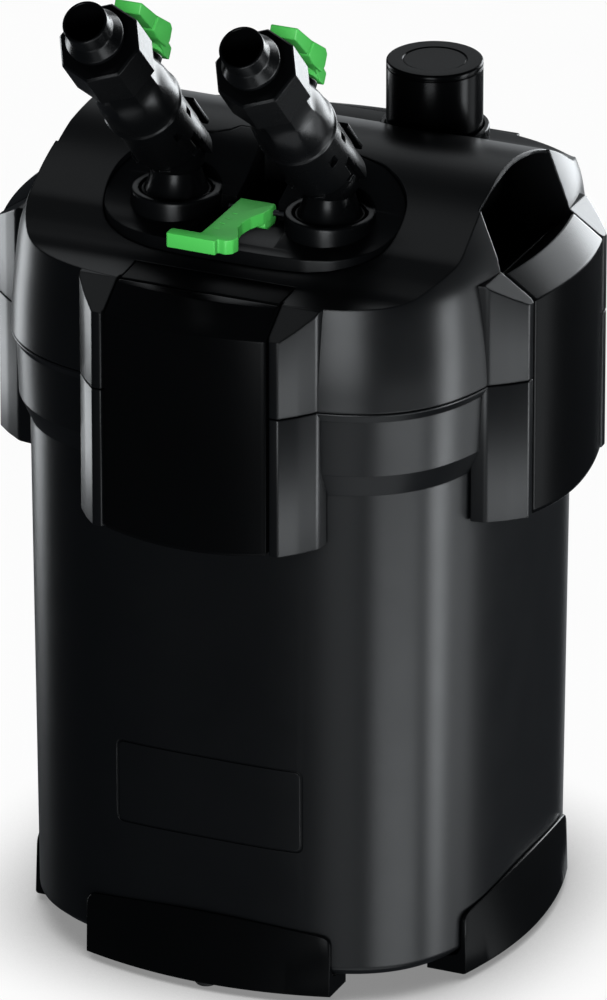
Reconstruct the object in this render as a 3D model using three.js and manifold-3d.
// Canister filter: square-shouldered bucket, motor head, four side latches, quick-release
// adapter with two shut-off taps, priming plunger and stacked media baskets.
// Millimetres, +Z up. The taps lean towards the front, -Y; right is +X. The parts are built
// round the bucket axis, then moved so the origin lies under the middle of the bounding box.
import * as THREE from 'three';
import { mergeVertices } from 'three/addons/utils/BufferGeometryUtils.js';
import Module from 'manifold-3d';

const wasm = await Module();
wasm.setup();

// ---- driving dimensions ----
const SQUARENESS = 3.34;     // exponent of the rounded-square plan
const SHELL_FACETS = 40;     // facets round the large shells
const SEAM_Z = 290.3;        // joint between bucket and head
const GAP = 0.4;             // clearance at the joint and beside the latches
const BUCKET_TOP = SEAM_Z - GAP / 2;
const HEAD_BOTTOM = SEAM_Z + GAP / 2;
const RIM = 118;             // half width of head and bucket lip at the joint
const LATCH_HALF = 39.3;     // half width of a latch panel
const LATCH_FACE = 129.7;    // distance of the latch face from the axis, at its ends
const LATCH_BOW = 5;         // extra bulge of the latch face at its middle
const LATCH_BOTTOM = 223;
const HINGE = [-116.5, 331.5];   // [y, z] of the front latch hinge axis
const TAP_X = 37.3;
const TAP_Y = -54.5;
const tapAt = (side) => [side * TAP_X, TAP_Y];
const RISER_AT = tapAt(1);   // right port, over the riser tube
const OUTLET_AT = tapAt(-1); // left port, fed by the impeller duct
const BUTTON_AT = [42.5, 51.5];
const MOTOR_AT = [-30, 42];
const LEVER_PIVOT = [-50, 353];  // [y, z] of the lock lever pin
const SIDE_NAMES = ['front', 'right', 'back', 'left'];   // in quarter turns about +Z
const LEFT_RIGHT = [-1, 1];
const TAU = Math.PI * 2;

// ---- solids ----
// a closed body: joined and cut as a solid, moved as a mesh
class Solid {
  constructor(body) {
    this.body = body;
  }
  add(...others) {
    return new Solid(others.reduce((sum, other) => sum.add(other.body), this.body));
  }
  subtract(...others) {
    return new Solid(others.reduce((rest, other) => rest.subtract(other.body), this.body));
  }
  intersect(other) {
    return new Solid(this.body.intersect(other.body));
  }
  moved(matrix) {
    const geometry = toGeometry(this).applyMatrix4(matrix);
    return toSolid(geometry.attributes.position.array, geometry.index.array);
  }
  translate([x, y, z]) {
    return this.moved(new THREE.Matrix4().makeTranslation(x, y, z));
  }
  // degrees, about X first, then Y, then Z
  rotate(degrees) {
    const turns = new THREE.Euler(...degrees.map(THREE.MathUtils.degToRad), 'ZYX');
    return this.moved(new THREE.Matrix4().makeRotationFromEuler(turns));
  }
}

function toSolid(positions, triangles) {
  const mesh = new wasm.Mesh({
    numProp: 3,
    vertProperties: new Float32Array(positions),
    triVerts: new Uint32Array(triangles),
  });
  return new Solid(new wasm.Manifold(mesh));
}

function indexedGeometry(positions, triangles) {
  const geometry = new THREE.BufferGeometry();
  const array = new Float32Array(positions);
  geometry.setAttribute('position', new THREE.BufferAttribute(array, 3));
  geometry.setIndex(new THREE.BufferAttribute(new Uint32Array(triangles), 1));
  return geometry;
}

function toGeometry(solid) {
  const mesh = solid.body.getMesh();
  return indexedGeometry(mesh.vertProperties, mesh.triVerts);
}

// merges shared corners, drops collapsed triangles and turns the faces outward
function weld(geometry) {
  const merged = mergeVertices(geometry, 1e-4);
  const { position } = merged.attributes;
  const index = merged.index.array;
  const faces = [];
  for (let i = 0; i < index.length; i += 3) {
    const face = [index[i], index[i + 1], index[i + 2]];
    if (new Set(face).size === 3) faces.push(face);
  }
  let volume = 0;
  for (const face of faces) {
    const [first, second, third] =
      face.map((i) => new THREE.Vector3().fromBufferAttribute(position, i));
    volume += first.dot(second.cross(third));
  }
  if (volume < 0) faces.forEach((face) => face.reverse());
  return toSolid(position.array, faces.flat());
}

const times = (count, make) => Array.from({ length: count }, (_, i) => make(i));

// triangles of the band between rings k and l, each ring having count points
const band = (count, k, l) => times(count, (i) => {
  const j = (i + 1) % count;
  const [near, nearNext, far, farNext] =
    [k * count + i, k * count + j, l * count + i, l * count + j];
  return [near, nearNext, farNext, near, farNext, far];
}).flat();

// triangles filling a flat ring
function cap(ring) {
  const points = ring.map((point) => new THREE.Vector3(...point));
  const normal = new THREE.Vector3();
  points.forEach((point, i) => {
    normal.add(new THREE.Vector3().crossVectors(point, points[(i + 1) % points.length]));
  });
  normal.normalize();
  const along = new THREE.Vector3().subVectors(points[1], points[0]).normalize();
  const across = new THREE.Vector3().crossVectors(normal, along);
  const flat = points.map((point) => new THREE.Vector2(point.dot(along), point.dot(across)));
  return THREE.ShapeUtils.triangulateShape(flat, []);
}

// closed skin through a row of equal-length rings, flat ends
function skin(rings) {
  const count = rings[0].length;
  const last = rings.length - 1;
  const bands = times(last, (k) => band(count, k, k + 1)).flat();
  const start = cap(rings[0]).flatMap((face) => [...face].reverse());
  const end = cap(rings[last]).flat().map((i) => last * count + i);
  return weld(indexedGeometry(rings.flat(2), [...bands, ...start, ...end]));
}

// closed [radius, z] profile turned about Z; planScale varies the radius with the angle
function turn(profile, facets, planScale = () => 1) {
  const positions = profile.flatMap(([radius, z]) => times(facets, (i) => {
    const angle = i / facets * TAU;
    const reach = radius * planScale(angle);
    return [reach * Math.cos(angle), reach * Math.sin(angle), z];
  }).flat());
  const triangles = profile.flatMap((_, k) => band(facets, k, (k + 1) % profile.length));
  return weld(indexedGeometry(positions, triangles));
}

const squareScale = (angle) => (Math.abs(Math.cos(angle)) ** SQUARENESS
  + Math.abs(Math.sin(angle)) ** SQUARENESS) ** (-1 / SQUARENESS);
// closed [half width, z] profile run round the rounded-square plan
const turnSquare = (profile, facets = SHELL_FACETS) => turn(profile, facets, squareScale);

// upright prism on an [x, y] outline
function prism(outline, bottom, top) {
  const shape = new THREE.Shape(outline.map(([x, y]) => new THREE.Vector2(x, y)));
  const geometry = new THREE.ExtrudeGeometry(shape, { depth: top - bottom, bevelEnabled: false });
  geometry.deleteAttribute('normal');
  geometry.deleteAttribute('uv');
  geometry.translate(0, 0, bottom);
  return weld(geometry);
}

// prism on a [y, z] outline, run along X
const alongX = (outline, start, end) => prism(outline, start, end).rotate([90, 0, 90]);
const box = (x0, x1, y0, y1, z0, z1) => prism([[x0, y0], [x1, y0], [x1, y1], [x0, y1]], z0, z1);
const tube = (inner, outer, bottom, top, [x, y] = [0, 0], facets = 18) =>
  turn([[inner, bottom], [outer, bottom], [outer, top], [inner, top]], facets)
    .translate([x, y, 0]);
const rod = (radius, bottom, top, place, facets) => tube(0, radius, bottom, top, place, facets);
// rod along X, centred on x = 0
const crossRod = (radius, half, [y, z], facets = 12) =>
  rod(radius, -half, half, [0, 0], facets).rotate([0, 90, 0]).translate([0, y, z]);
const spinZ = (solid, quarters) => solid.rotate([0, 0, 90 * quarters]);
const onFourSides = (solid) => times(4, (k) => spinZ(solid, k));
const circleRing = (centre, radius, facets, firstAxis, secondAxis) => times(facets, (i) => {
  const angle = i / facets * TAU;
  return centre.clone()
    .addScaledVector(firstAxis, radius * Math.cos(angle))
    .addScaledVector(secondAxis, radius * Math.sin(angle))
    .toArray();
});

// ---- materials ----
const MATERIALS = {
  shell: { color: 0x1d1f21, roughness: 0.45 },
  gloss: { color: 0x0b0c0d, roughness: 0.2 },
  green: { color: 0x2fbf4c, roughness: 0.4 },
  rubber: { color: 0x111111, roughness: 0.9 },
  grey: { color: 0x3a3d40, roughness: 0.5 },
  coarseFoam: { color: 0x24507a, roughness: 1 },
  fineFoam: { color: 0x5c6b30, roughness: 1 },
  floss: { color: 0xe4e4df, roughness: 1 },
  steel: { color: 0xb8bcc0, roughness: 0.3, metalness: 0.9 },
  ceramic: { color: 0xe8e2d6, roughness: 0.4 },
  magnet: { color: 0x2a2a2e, roughness: 0.3 },
};

const group = new THREE.Group();
group.name = 'canister_filter';

function put(name, solid, material) {
  const geometry = toGeometry(solid).toNonIndexed();
  geometry.computeVertexNormals();
  const mesh = new THREE.Mesh(geometry, new THREE.MeshStandardMaterial(MATERIALS[material]));
  mesh.name = name;
  group.add(mesh);
}

// ---- cheeks: the latch drops between a pair of them, below and above the joint ----
const CHEEK_INNER = LATCH_HALF + GAP;
// [x, y] of the nose both cheeks share, right of the front latch
const CHEEK_NOSE = [[CHEEK_INNER, -127.5], [40.6, -LATCH_FACE], [45, -129.5], [51, -123]];
// remaining [x, y] points, leading back to the shell
const BUCKET_CHEEK_TAIL = [[58, -114], [59, -107.5]];
const HEAD_CHEEK_TAIL = [[57.5, -115.5], [60, -100]];

function cheekOutline(side, tail) {
  const rootY = tail.at(-1)[1];
  return [[CHEEK_INNER, rootY], ...CHEEK_NOSE, ...tail].map(([x, y]) => [side * x, y]);
}

// ---- bucket ----
// [half width, z], up the outside and down the inside
const BUCKET_PROFILE = [
  [0, 8], [102.5, 8], [106.6, 9.6], [108.5, 13.5], [110.6, 247.5], [115.1, 259],
  [116, 285.5], [RIM, 289.2], [RIM, BUCKET_TOP],
  [113, BUCKET_TOP], [112.8, 262], [107.6, 249], [105.5, 15], [100, 11.2], [0, 11.2],
];
// [half width, z] of the space kept clear of cheeks and ledges
const BUCKET_INSIDE = [[0, 100], [109.2, 100], [109.2, 256], [114, 262], [114, 320], [0, 320]];
const CHEEK_UNDERCUT = [[-140, 223], [-124, 223], [-133, 232], [-140, 232]];   // [y, z]
const CATCH_LEDGE = [[-110, 266], [-118.4, 271], [-118.4, 276], [-110, 279]];  // [y, z]

function bucket() {
  const inside = turnSquare(BUCKET_INSIDE);
  const undercut = alongX(CHEEK_UNDERCUT, -70, 70);
  const cheeks = LEFT_RIGHT.flatMap((side) => onFourSides(
    prism(cheekOutline(side, BUCKET_CHEEK_TAIL), 224, BUCKET_TOP).subtract(undercut, inside)));
  const ledge = alongX(CATCH_LEDGE, -30, 30).subtract(inside);
  return turnSquare(BUCKET_PROFILE).add(...cheeks, ...onFourSides(ledge));
}
put('canister_bucket', bucket(), 'shell');

// ---- feet and pads ----
const FOOT_HALF = 60;        // half length of a foot skirt
const FOOT_SHOULDER = 52;    // station where its end begins to drop
const FOOT_WALL = 108.9;     // half width of the bucket wall behind the foot
const PAD_Y = -108;
const PAD_DROP = 3.2;        // rubber pad standing below the foot
const FOOT_DROPS = { [FOOT_HALF]: 3.6, [FOOT_SHOULDER]: 0.3 };   // top lowered near the ends

function foot() {
  const stations = [-FOOT_HALF, -FOOT_SHOULDER, -30, 0, 30, FOOT_SHOULDER, FOOT_HALF];
  const rings = stations.map((x) => {
    const bulge = 1 - (x / FOOT_HALF) ** 2;
    const drop = FOOT_DROPS[Math.abs(x)] ?? 0;
    const wallCurve = (1 - (Math.abs(x) / FOOT_WALL) ** SQUARENESS) ** (1 / SQUARENESS);
    const innerY = -(FOOT_WALL * wallCurve + 0.3);
    const bottomY = -(107.05 + 9.45 * bulge);
    const topY = -(106.3 + 4.2 * bulge);
    const topZ = 29.3 + 3.7 * bulge - drop;
    return [
      [x, -88, 0], [x, -88, 7.6], [x, innerY + 7, 7.6], [x, innerY + 1.9, 9.4],
      [x, innerY, 13.2], [x, innerY, topZ], [x, topY + 0.4, topZ], [x, topY, topZ - 0.6],
      [x, bottomY, 1], [x, bottomY + 1, 0],
    ];
  });
  return skin(rings).subtract(rod(3.2, -1, 4, [0, PAD_Y], 14));
}

const footPad = () => turn([
  [0, -PAD_DROP], [5, -PAD_DROP], [5.5, -PAD_DROP + 0.6], [5.5, -0.1],
  [2.9, -0.1], [2.9, 3.6], [0, 3.6],
], 14).translate([0, PAD_Y, 0]);

SIDE_NAMES.forEach((name, k) => {
  put(`foot_${name}`, spinZ(foot(), k), 'gloss');
  put(`foot_pad_${name}`, spinZ(footPad(), k), 'rubber');
});

// ---- roof of the head: vaulted front to back ----
// [distance from y = 0, z] where the vault runs on straight past its curved middle
const EAVES = [[65, 350.1], [72, 348.3], [80, 346], [86, 343.7], [96, 339.3], [115, 338.1],
  [130, 338]];
// y stations of the vault, outside, inside and over the finger recesses
const ROOF_OUTER_Y = [-130, -96, -80, -65, -56, -44, -30, -15, 0, 15, 30, 44, 56, 65, 80, 96, 130];
const ROOF_INNER_Y = [-130, -96, -80, -60, -31, 0, 31, 60, 80, 96, 130];
const RECESS_ROOF_Y = [-130, -60, -38, -22, 0, 22, 38, 60, 130];

function roofZ(y) {
  const reach = Math.abs(y);
  if (reach <= EAVES[0][0]) return 374 - 0.00565 * reach * reach;
  const i = EAVES.findIndex(([limit]) => reach <= limit);
  const [[fromY, fromZ], [toY, toZ]] = [EAVES[i - 1], EAVES[i]];
  return fromZ + (toZ - fromZ) * (reach - fromY) / (toY - fromY);
}

// everything from bottom up to the roof, the roof being lowered by depth
const underRoof = (depth, bottom, stations) => alongX([
  [-130, bottom], [130, bottom], ...[...stations].reverse().map((y) => [y, roofZ(y) - depth]),
], -130, 130);

// ---- covers over the front and back recess ----
const recessCover = () => alongX([
  [-112.6, 335], [-112.6, roofZ(112.6)], [-96, roofZ(96)], [-96, 335],
], -38.5, 38.5).subtract(crossRod(7.3, 45, HINGE, 24));

put('recess_cover_front', recessCover(), 'gloss');
put('recess_cover_back', spinZ(recessCover(), 2), 'gloss');

// ---- head cover ----
// [half width, z]
const HEAD_OUTSIDE = [[0, HEAD_BOTTOM], [RIM, HEAD_BOTTOM], [117.3, 308], [114.5, 338],
  [110.4, 350], [104.8, 365], [99.5, 376], [0, 376]];
const HEAD_INSIDE = [[0, 288], [114.9, 288], [114.1, 308], [111.1, 338], [101.2, 365],
  [96, 376], [0, 376]];
// The rest are [y, z] on the front side. Each cut has a guard: the larger shape held back
// from the hollow, so that a wall is left round the cut.
const CHEEK_TRIM = [[-100, 270], [-140, 270], [-140, 320], [-LATCH_FACE, 327],
  [-113.5, 338.1], [-108, 338.4], [-100, 338.4]];
const HINGE_POCKET = [[-135, 286], [-118.6, 286], [-118.3, 318], [-111, 323], [-108.6, 330],
  [-109.4, 336], [-112.7, 345], [-135, 345]];
const HINGE_GUARD = [[-135, 286], [-115.4, 286], [-115, 316], [-107.6, 321], [-105.4, 330],
  [-106.4, 345], [-135, 345]];
const FINGER_MOUTH = [[-135, 331.4], [-108.5, 331.4], [-102.6, 327.8], [-102.6, 376],
  [-135, 376]];
const FINGER_DEPTH = [[-103, 328], [-96, 324.5], [-86, 322], [-82, 325], [-82, 375],
  [-103, 375]];
const FINGER_GUARD = [[-135, 318], [-107, 326], [-97, 321.6], [-79, 318], [-79, 376],
  [-135, 376]];
const FINGER_HALF = 39.2;
const COVER_SEAT = [[-114, 334.6], [-114, 345], [-95.6, 345], [-95.6, 334.6]];

// [x, y] of the adapter's right half, back to front
const ADAPTER_HALF = [[26, -8.5], [29, -13], [35, -16.5], [49, -20.5], [59, -28],
  [65.5, -35.5], [69.5, -44], [70.5, -53], [69.5, -61], [66, -69.5], [60, -77], [50, -83],
  [38, -86], [22, -87.3]];
const ADAPTER_CENTRE_Y = -48;

// whole adapter outline, pushed out from its centre by growth
function adapterOutline(growth) {
  const leftHalf = [...ADAPTER_HALF].reverse().map(([x, y]) => [-x, y]);
  return [...ADAPTER_HALF, ...leftHalf].map(([x, y]) => {
    const fromCentre = y - ADAPTER_CENTRE_Y;
    const scale = 1 + growth / Math.hypot(x, fromCentre);
    return [x * scale, ADAPTER_CENTRE_Y + fromCentre * scale];
  });
}

// the hollow, less the guards round everything let into the shell
function headCavity() {
  const hinge = alongX(HINGE_GUARD, -43, 43);
  const finger = alongX(FINGER_GUARD, -42.2, 42.2);
  const coverSeat = box(-42, 42, -116, -92.6, 331.6, 350);
  const adapterSeat = prism(adapterOutline(4).filter((_, i) => i % 2 === 1), 329, 380);
  return turnSquare(HEAD_INSIDE)
    .intersect(underRoof(3, 270, ROOF_INNER_Y))
    .subtract(
      ...onFourSides(hinge),
      spinZ(finger, 1), spinZ(finger, 3),
      coverSeat, spinZ(coverSeat, 2),
      adapterSeat,
      ...LEFT_RIGHT.map((side) => rod(17, 300, 331, tapAt(side), 14)),
      rod(28.5, 331, 380, BUTTON_AT, 20),
    );
}

function headCover() {
  const trim = alongX(CHEEK_TRIM, -70, 70);
  const cheeks = LEFT_RIGHT.flatMap((side) => onFourSides(
    prism(cheekOutline(side, HEAD_CHEEK_TAIL), HEAD_BOTTOM, 345).intersect(trim)));
  const hingePocket = alongX(HINGE_POCKET, -CHEEK_INNER, CHEEK_INNER);
  const fingerMouth = alongX(FINGER_MOUTH, -FINGER_HALF, FINGER_HALF);
  const fingerDepth = alongX(FINGER_DEPTH, -FINGER_HALF, FINGER_HALF);
  const recessRoof = underRoof(2.4, 280, RECESS_ROOF_Y);   // keeps the recess below the roof
  const fingerRecesses = [1, 3].flatMap((k) =>
    [spinZ(fingerMouth, k), spinZ(fingerDepth, k).intersect(recessRoof)]);
  const coverSeat = alongX(COVER_SEAT, -38.9, 38.9);
  const [buttonX, buttonY] = BUTTON_AT;
  const cordHole = rod(5.4, -30, 30, [0, 0], 16).rotate([0, 90, 135]).translate([-88, 88, 306]);
  return turnSquare(HEAD_OUTSIDE)
    .intersect(underRoof(0, 280, ROOF_OUTER_Y))
    .add(...cheeks)
    .subtract(
      ...onFourSides(hingePocket),
      ...fingerRecesses,
      coverSeat, spinZ(coverSeat, 2),
      headCavity(),
      prism(adapterOutline(0.35), 332, 380),
      rod(25.3, 334, 380, BUTTON_AT, 30),                   // plunger well
      ...LEFT_RIGHT.map((side) => rod(13.6, 299, 333, tapAt(side))),
      rod(2, 330, 336, [buttonX + 12, buttonY], 12),        // small hole in the well floor
      ...onFourSides(crossRod(1.9, 43.4, HINGE)),           // blind pin holes in the cheeks
      cordHole,
    );
}
put('head_cover', headCover(), 'shell');

// ---- latches ----
const HOOK_RAIL = [[-127, 261], [-127, 271], [-119, 268.6], [-119, 263.5]];   // [y, z]
const LATCH_RIB = [[-127, 232], [-127, 322], [-121, 322], [-121.6, 300], [-123.6, 285],
  [-123.6, 236]];                                                             // [y, z]

// the side pair dip inwards behind their ridge, towards the finger recess
function latch(dipped) {
  const rings = [-LATCH_HALF, -22, 0, 22, LATCH_HALF].map((x) => {
    const bulge = 1 - (x / LATCH_HALF) ** 2;
    const face = LATCH_FACE + LATCH_BOW * bulge;
    const bottom = LATCH_BOTTOM - 2 * bulge;
    const ridge = 4.4 * bulge;
    const top = dipped
      ? [[x, -(113.4 + ridge * 0.45), 335.9], [x, -109.3, 332], [x, -109.9, 329.4]]
      : [[x, -113.6, 337.6], [x, -112.7, 337.1], [x, -111.4, 331.5]];
    return [
      [x, -126.2, bottom + 1.5], [x, -(face - 1.6), bottom], [x, -face, bottom + 1.8],
      [x, -face, 325.8], [x, -(face - 1.3), 327.8], [x, -(115.4 + ridge), 337.1], ...top,
      [x, -113.2, 327.6], [x, -116.5, 326.3], [x, -121.5, 325.6], [x, -126.2, 321],
    ];
  });
  const ribs = [-33, 33].map((x) => alongX(LATCH_RIB, x - 0.9, x + 0.9));
  return skin(rings)
    .add(alongX(HOOK_RAIL, -28, 28), ...ribs)
    .subtract(crossRod(1.8, 45, HINGE));
}

SIDE_NAMES.forEach((name, k) => {
  put(`latch_${name}`, spinZ(latch(k % 2 === 1), k), 'gloss');
  put(`latch_pin_${name}`, spinZ(crossRod(1.5, 43, HINGE, 10), k), 'steel');
});

// ---- pump plate and its seal ----
// [half width, z]; the edge carries a groove for the seal
const PLATE_PROFILE = [[0, 284], [108.8, 284], [108.8, 274], [112.3, 274], [112.3, 278.4],
  [109.9, 278.4], [109.9, 283.4], [112.3, 283.4], [112.3, 292.6], [109, 292.6], [109, 288],
  [0, 288]];

const pumpPlate = () => turnSquare(PLATE_PROFILE)
  .add(
    rod(14.8, 284, 328, MOTOR_AT),                 // rotor well
    tube(11, 15.5, 276, 296, RISER_AT),
    tube(9, 12.6, 284, 298, OUTLET_AT),
  )
  .subtract(
    rod(12.6, 280, 320.5, MOTOR_AT),
    rod(4.7, 320, 325.7, MOTOR_AT, 16),            // upper bush seat
    rod(13, 270, 290.6, RISER_AT),
    rod(11, 290, 300, RISER_AT),
    rod(9, 280, 300, OUTLET_AT),
  );
put('pump_plate', pumpPlate(), 'grey');
put('main_seal', turnSquare([[110.1, 278.8], [112.6, 278.8], [112.6, 283], [110.1, 283]]),
  'rubber');

// ---- motor and impeller ----
const MOTOR_PROFILE = [[15.2, 288.4], [33, 288.4], [34, 289.6], [34, 333], [31.5, 336.5],
  [0, 336.5], [0, 330], [15.2, 330]];
const IMPELLER_COVER_PROFILE = [[0, 263], [26, 263], [28, 265], [28, 283.6], [25.5, 283.6],
  [25.5, 266], [0, 266]];
const IMPELLER_PROFILE = [[1.8, 271.4], [5.5, 271.4], [5.5, 279.5], [19, 279.5], [19, 281.6],
  [8, 281.6], [8, 287], [11.4, 287], [11.4, 318], [1.8, 318]];
const VENTS = { count: 5, circle: 13, radius: 3.6 };
const BLADES = 6;
const atMotor = (solid) => solid.translate([...MOTOR_AT, 0]);

// dished cover with a duct running to the outlet port
function impellerCover() {
  const outletX = OUTLET_AT[0] - MOTOR_AT[0];
  const outletY = OUTLET_AT[1] - MOTOR_AT[1];
  const reach = Math.hypot(outletX, outletY);
  const heading = THREE.MathUtils.radToDeg(Math.atan2(outletY, outletX));
  const aimed = (solid) => atMotor(solid.rotate([0, 0, heading]));
  const ductHole = box(20, reach + 9.8, -7.8, 7.8, 266.2, 281.4)
    .add(box(reach - 7.8, reach + 7.8, -7.8, 7.8, 270, 290));
  const vents = times(VENTS.count, (i) => {
    const angle = i * TAU / VENTS.count;
    const place = [VENTS.circle * Math.cos(angle), VENTS.circle * Math.sin(angle)];
    return atMotor(rod(VENTS.radius, 260, 267, place, 12));
  });
  return atMotor(turn(IMPELLER_COVER_PROFILE, 24))
    .add(rod(6.5, 264, 271, MOTOR_AT))
    .subtract(rod(4.7, 265.4, 272, MOTOR_AT, 16), ...vents)
    .add(aimed(box(24, reach + 12, -10, 10, 264, 283.6)))
    .subtract(aimed(ductHole));
}

function impeller() {
  const blade = box(4.6, 18.4, -0.9, 0.9, 271.8, 280);
  const blades = times(BLADES, (i) => blade.rotate([0, 0, 360 / BLADES * i]));
  return atMotor(turn(IMPELLER_PROFILE, 24).add(...blades));
}

put('motor_housing', atMotor(turn(MOTOR_PROFILE, 24)), 'grey');
put('impeller_cover', impellerCover(), 'grey');
put('impeller', impeller(), 'magnet');
put('impeller_shaft', rod(1.5, 266.4, 324.8, MOTOR_AT, 12), 'ceramic');
put('shaft_bush_lower', tube(1.6, 4.5, 265.7, 270.8, MOTOR_AT, 16), 'rubber');
put('shaft_bush_upper', tube(1.6, 4.5, 320.3, 325.4, MOTOR_AT, 16), 'rubber');

// ---- baskets, media, riser tube ----
const BASKET_HALF = 99;      // half width at the floor
const BASKET_BOTTOM = 14;
const BASKET_HEIGHT = 77;
const BASKET_PITCH = 79;
// basket name, media name, media material; bottom to top
const BASKETS = [
  ['lower', 'coarse_foam_lower', 'coarseFoam'],
  ['middle', 'fine_foam_middle', 'fineFoam'],
  ['upper', 'floss_pad_upper', 'floss'],
];
// x of each floor slot and y of its front end; the right-hand ones stop short of the riser
const FLOOR_SLOTS = [[-72, -60], [-45, -60], [-18, -60], [9, -22], [38, -22], [67, -22]];

function basket(bottom, top) {
  const half = BASKET_HALF;
  const tray = turnSquare([
    [0, bottom], [half - 1, bottom], [half, bottom + 1], [half + 1.2, top - 2],
    [half + 2.6, top - 2], [half + 2.6, top], [half - 0.8, top], [half - 2, bottom + 3],
    [0, bottom + 3],
  ], 28);
  return tray
    .add(rod(16.5, bottom, top - 1, RISER_AT, 20))
    .subtract(rod(14.4, bottom - 1, top + 1, RISER_AT, 20))
    .subtract(...FLOOR_SLOTS.map(([x, y]) => box(x - 3, x + 3, y, 60, bottom - 1, bottom + 4)));
}

const mediaPad = (bottom, top) => turnSquare([
  [0, bottom + 3.4], [BASKET_HALF - 3.4, bottom + 3.4], [BASKET_HALF - 2.4, top - 8],
  [0, top - 8],
], 24).subtract(rod(17, bottom, top, RISER_AT, 20));

BASKETS.forEach(([name, mediaName, material], i) => {
  const bottom = BASKET_BOTTOM + BASKET_PITCH * i;
  const top = bottom + BASKET_HEIGHT;
  put(`media_basket_${name}`, basket(bottom, top), 'grey');
  put(mediaName, mediaPad(bottom, top), material);
});
put('riser_tube', tube(9.5, 12.2, 16, 288, RISER_AT, 20), 'grey');

// ---- priming plunger ----
const COLLAR_PROFILE = [[22.4, 334.4], [24.8, 334.4], [24.8, 363.5], [24.2, 364.2],
  [22.9, 364.2], [22.4, 363.6]];
const BUTTON_RADIUS = 21.9;
const BUTTON_TOP = 395.5;
const BUTTON_PROFILE = [[0, BUTTON_TOP], [20.4, BUTTON_TOP], [BUTTON_RADIUS, BUTTON_TOP - 1.5],
  [BUTTON_RADIUS, 345.5], [19.4, 345.5], [19.4, 391], [0, 391]];
const SPRING = { turns: 3.5, stepsPerTurn: 12, bottom: 336, top: 389.4, radius: 11, wire: 1.1 };
const atButton = (solid) => solid.translate([...BUTTON_AT, 0]);

function spring() {
  const steps = SPRING.turns * SPRING.stepsPerTurn;
  const down = new THREE.Vector3(0, 0, -1);
  return skin(times(steps + 1, (i) => {
    const angle = i / steps * SPRING.turns * TAU;
    const outward = new THREE.Vector3(Math.cos(angle), Math.sin(angle), 0);
    const centre = outward.clone().multiplyScalar(SPRING.radius);
    centre.z = SPRING.bottom + (SPRING.top - SPRING.bottom) * i / steps;
    return circleRing(centre, SPRING.wire, 5, outward, down);
  }));
}

put('primer_collar', atButton(turn(COLLAR_PROFILE, 30)), 'gloss');
put('primer_button', atButton(turn(BUTTON_PROFILE, 30)), 'gloss');
put('primer_spring', atButton(spring()), 'steel');

// ---- quick-release adapter ----
const COLLAR_Z = 360;        // top of the two tap collars
const SOCKET_PROFILE = [[15, 344], [20.4, 344], [20.4, 358.8], [19.2, COLLAR_Z],
  [15, COLLAR_Z]];
// [y, z] of the top surface, front to back
const ADAPTER_TOP = [[-95, 348.6], [-84, 349], [-75, 351], [-65, 353], [-54.5, 356],
  [-35, 364.5], [-20, 371], [-8, 373.6], [0, 374]];
const LEVER_SLOT = [[-9.8, -62], [10.2, -62], [10.2, -40], [12, -15], [-12, -15],
  [-9.8, -40]];                                                               // [x, y]
const SEAL_PROFILE = [[11.15, 320], [12.4, 319.4], [13.4, 320.6], [13.4, 322.4],
  [12.4, 323.6], [11.15, 323]];

function adapterBlock() {
  const top = [[-95, 330], [0, 330], ...[...ADAPTER_TOP].reverse()];
  const added = LEFT_RIGHT.flatMap((side) => [
    tube(9, 11, 316, 334, tapAt(side)),
    turn(SOCKET_PROFILE, 32).translate([...tapAt(side), 0]),
  ]);
  const bores = LEFT_RIGHT.flatMap((side) => [
    rod(20.4, COLLAR_Z, 380, tapAt(side), 32),
    rod(16.5, 345, 380, tapAt(side), 28),
    rod(9, 310, 350, tapAt(side)),
  ]);
  return prism(adapterOutline(0), 332.4, 380)
    .intersect(alongX(top, -90, 90))
    .subtract(box(-21, 21, -83.4, -50, 349.6, 380))   // shelf the lever lies on
    .add(...added)
    .subtract(...bores, prism(LEVER_SLOT, 343, 380), crossRod(1.7, 14, LEVER_PIVOT));
}

put('adapter_block', adapterBlock(), 'shell');
for (const side of LEFT_RIGHT) {
  const seal = turn(SEAL_PROFILE, 18).translate([...tapAt(side), 0]);
  put(`adapter_seal_${side < 0 ? 'left' : 'right'}`, seal, 'rubber');
}

// ---- lock lever ----
const LEVER_OUTLINE = [[-8.4, -49], [-8.2, -84], [-8.4, -93.5], [-22.5, -92.6],
  [-22.5, -99.3], [1.4, -99.7], [1.4, -97], [5.5, -97.5], [8.3, -95], [9, -91], [7, -86],
  [4.5, -81], [3.9, -75], [5, -68], [8, -61], [8.7, -55], [8.4, -49]];        // [x, y]
const LEVER_TAB = [[-22.5, -99.3], [1.4, -99.7], [1.4, -89.6], [-22.5, -89.6]];   // [x, y]
const LEVER_PIVOT_END = [[-60.4, 350], [-58.8, 346.2], [-50, 345.7], [-47.2, 350],
  [-47.6, 356.5], [-58, 356.8]];                                              // [y, z]

const lockLever = () => prism(LEVER_OUTLINE, 351.4, 357)
  .add(prism(LEVER_TAB, 350.6, 357), alongX(LEVER_PIVOT_END, -8, 8.3))
  .subtract(crossRod(1.8, 14, LEVER_PIVOT));
put('lock_lever', lockLever(), 'green');
put('lock_lever_pin', crossRod(1.4, 13.4, LEVER_PIVOT, 10), 'steel');

// ---- taps ----
// Local frame: the leaning axis is +Z from the bend at the origin, +Y is the tap's upper side.
const BEND_Z = 377;          // where the leaning axis crosses the upright one
const LEAN = 45;             // degrees from upright, towards the front
const TAP_LENGTH = 137;      // from bend to nozzle tip
const TAP_JOINT = TAP_LENGTH - 86.5;   // joint between elbow and body
const BALL_Z = TAP_LENGTH - 76;
const BORE = 8;
const lean = (solid, side) => solid.rotate([LEAN, 0, 0]).translate([...tapAt(side), BEND_Z]);
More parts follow.
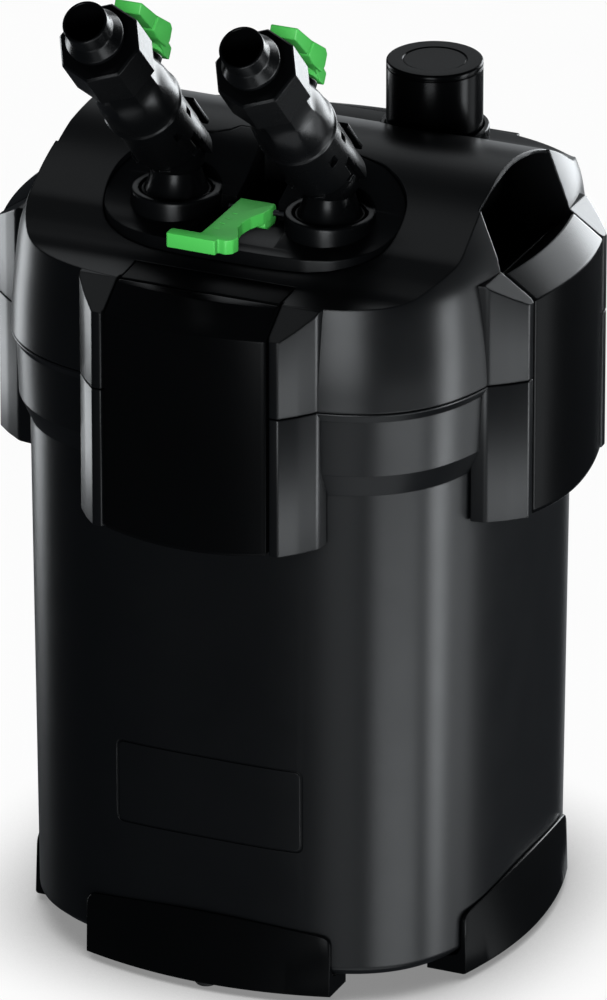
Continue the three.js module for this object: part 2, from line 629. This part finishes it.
// rod from the ball centre towards local +Y
const stemRod = (radius, start, end, facets) =>
  rod(radius, start, end, [0, 0], facets).rotate([-90, 0, 0]).translate([0, 0, BALL_Z]);

// faceted ball profiles about height z; wide and narrow place the corners between the poles
const lowerBall = (z, radius, wide, narrow) =>
  [[0, z - radius], [narrow, z - wide], [wide, z - narrow], [radius, z]];
const wholeBall = (z, radius, wide, narrow) =>
  [...lowerBall(z, radius, wide, narrow), [wide, z + narrow], [narrow, z + wide], [0, z + radius]];
const BALL_SEAT = [BALL_Z, 12.4, 10.7, 6.2];
const BALL = [BALL_Z, 11, 9.5, 5.5];

// upright stub with a neck, [radius, z] in the filter's frame
const STUB_PROFILE = [[0, 345.3], [15.9, 345.3], [15.9, 359.3], [14.9, 359.3],
  [13.8, 361.2], [11.2, 369.5], [11.2, BEND_Z], [0, BEND_Z]];
// local [y0, y1, z0, z1] of the shallow windows in both flanks of the sleeve
const SLEEVE_WINDOWS = [[4, 7.4, 32, 38.7], [-8.8, -4.9, 33.2, 39.6], [-3.4, 1, 12, 25.5]];
// [radius, local z]
const BODY_PROFILE = [[0, TAP_JOINT + 0.2], [17.8, TAP_JOINT + 0.2], [17.6, TAP_JOINT + 8],
  [16.8, TAP_JOINT + 19], [15.4, TAP_JOINT + 26], [15.1, TAP_LENGTH - 45.7],
  [14.4, TAP_LENGTH - 45.7], [14.4, TAP_LENGTH - 30], [0, TAP_LENGTH - 30]];
// [radius, z from the nozzle tip]
const NUT_PROFILE = [[0, -45.4], [18.2, -45.4], [19.2, -44.4], [19.2, -22.2], [18, -21],
  [0, -21]];
const NOZZLE_PROFILE = [[7.6, -41.6], [9.8, -41.6], [9.8, -18.4], [13, -17.2], [13.3, -14.4],
  [10.6, -9.5], [10.2, -8.5], [10.2, -0.8], [9.5, 0], [7.6, 0]];
// [height off the axis, z from the ball centre] of the swept plate and its wider boss
const PLATE_SIDE = [[23, 36.4], [28.1, 38.2], [31.1, 18.7], [34.2, 5.2], [34.3, 2.8],
  [33.2, 0.3], [28, -1.5], [27.3, -7.7], [21.9, -9], [21, -3], [23.5, 6], [24.2, 19]];
const BOSS_SIDE = [[22.6, 12], [23.4, 19.3], [30.8, 18.4], [34, 5.1], [34.1, 2.8], [33, 0.5],
  [27.8, -1.3], [24, 0.5]];

function tapElbow(side) {
  const at = tapAt(side);
  // the sleeve stops short of the collar in front and runs on behind
  const bend = turn([...lowerBall(0, 13.4, 11.6, 6.7), [12.4, 6], [12.4, 15], [0, 15]], 20);
  const arm = bend.add(
    rod(16.4, 14.8, TAP_JOINT - 0.2, [0, 0], 20),
    rod(16.2, -3, 16, [0, 0], 20).intersect(box(-17, 17, 2.6, 17, -4, 17)),
    box(-4.6, 4.6, 12, 19, -2, 4),
    box(-6.6, 6.6, 18.6, 21.1, -10, 13.5),
  );
  const hollow = rod(BORE, 0, TAP_JOINT + 1, [0, 0], 14)
    .add(turn([...lowerBall(...BALL_SEAT), [0, BALL_Z]], 14));
  const windows = LEFT_RIGHT.flatMap((flank) => SLEEVE_WINDOWS.map((range) =>
    lean(box(flank * 13, flank * 18, ...range), side)));
  return lean(arm, side)
    .add(turn(STUB_PROFILE, 20).translate([...at, 0]))
    .subtract(lean(hollow, side), rod(BORE, 340, BEND_Z, at, 14), ...windows);
}

const tapBody = () => turn(BODY_PROFILE, 22)
  .add(stemRod(6.2, 0, 20, 16))
  .subtract(
    rod(BORE, TAP_JOINT, TAP_LENGTH - 40, [0, 0], 14),
    rod(10.3, TAP_LENGTH - 42, TAP_LENGTH - 20),
    turn(wholeBall(...BALL_SEAT), 14),
    stemRod(3.4, 0, 30, 16),
  );

const unionNut = () => turn(NUT_PROFILE, 8)
  .subtract(rod(15.1, -53, -29.4), rod(10.7, -53, -10))
  .translate([0, 0, TAP_LENGTH]);

const hoseNozzle = () => turn(NOZZLE_PROFILE, 20).translate([0, 0, TAP_LENGTH]);

const valveBall = () => turn(wholeBall(...BALL), 14)
  .add(stemRod(3, 0, 22.6, 14))
  .subtract(rod(7.4, BALL_Z - 14, BALL_Z + 14, [0, 0], 12));

const valveLever = () => alongX(PLATE_SIDE, -6.4, 6.4)
  .add(alongX(BOSS_SIDE, -7.5, 7.5))
  .translate([0, 0, BALL_Z])
  .add(stemRod(6, 20.8, 26, 16))
  .subtract(stemRod(3.2, 0, 23, 14));

for (const side of LEFT_RIGHT) {
  const name = side < 0 ? 'left' : 'right';
  put(`tap_elbow_${name}`, tapElbow(side), 'shell');
  put(`tap_body_${name}`, lean(tapBody(), side), 'shell');
  put(`union_nut_${name}`, lean(unionNut(), side), 'shell');
  put(`hose_nozzle_${name}`, lean(hoseNozzle(), side), 'shell');
  put(`valve_ball_${name}`, lean(valveBall(), side), 'grey');
  put(`valve_lever_${name}`, lean(valveLever(), side), 'green');
}

// ---- power cord, leaving at the back left corner ----
// [radius, distance outward]
const GLAND_PROFILE = [[3.5, -6], [5.1, -6], [5.1, 5], [7, 5], [6.4, 16], [3.5, 16]];
// [reach along both -X and +Y, z]
const CORD_PATH = [[80, 306], [88, 306], [97, 306], [105, 306], [110.5, 304], [114.5, 298],
  [115.5, 288], [115.5, 262]];
const CORD_RADIUS = 3.2;
const CORD_STEPS = 12;

function powerCord() {
  const path = CORD_PATH.map(([reach, z]) => new THREE.Vector3(-reach, reach, z));
  const curve = new THREE.CatmullRomCurve3(path);
  const sideways = new THREE.Vector3(1, 1, 0).normalize();   // square to the plane of the path
  return skin(times(CORD_STEPS + 1, (i) => {
    const tangent = curve.getTangent(i / CORD_STEPS);
    const across = tangent.cross(sideways).normalize();
    return circleRing(curve.getPoint(i / CORD_STEPS), CORD_RADIUS, 8, sideways, across);
  }));
}

const cordGland = turn(GLAND_PROFILE, 16).rotate([0, 90, 135]).translate([-92.4, 92.4, 306]);
put('cord_gland', cordGland, 'rubber');
put('power_cord', powerCord(), 'rubber');

// ---- origin under the middle of the bounding box ----
const bounds = new THREE.Box3().setFromObject(group);
const middle = bounds.getCenter(new THREE.Vector3());
for (const mesh of group.children) {
  mesh.geometry.translate(-middle.x, -middle.y, -bounds.min.z);
}
export default group;
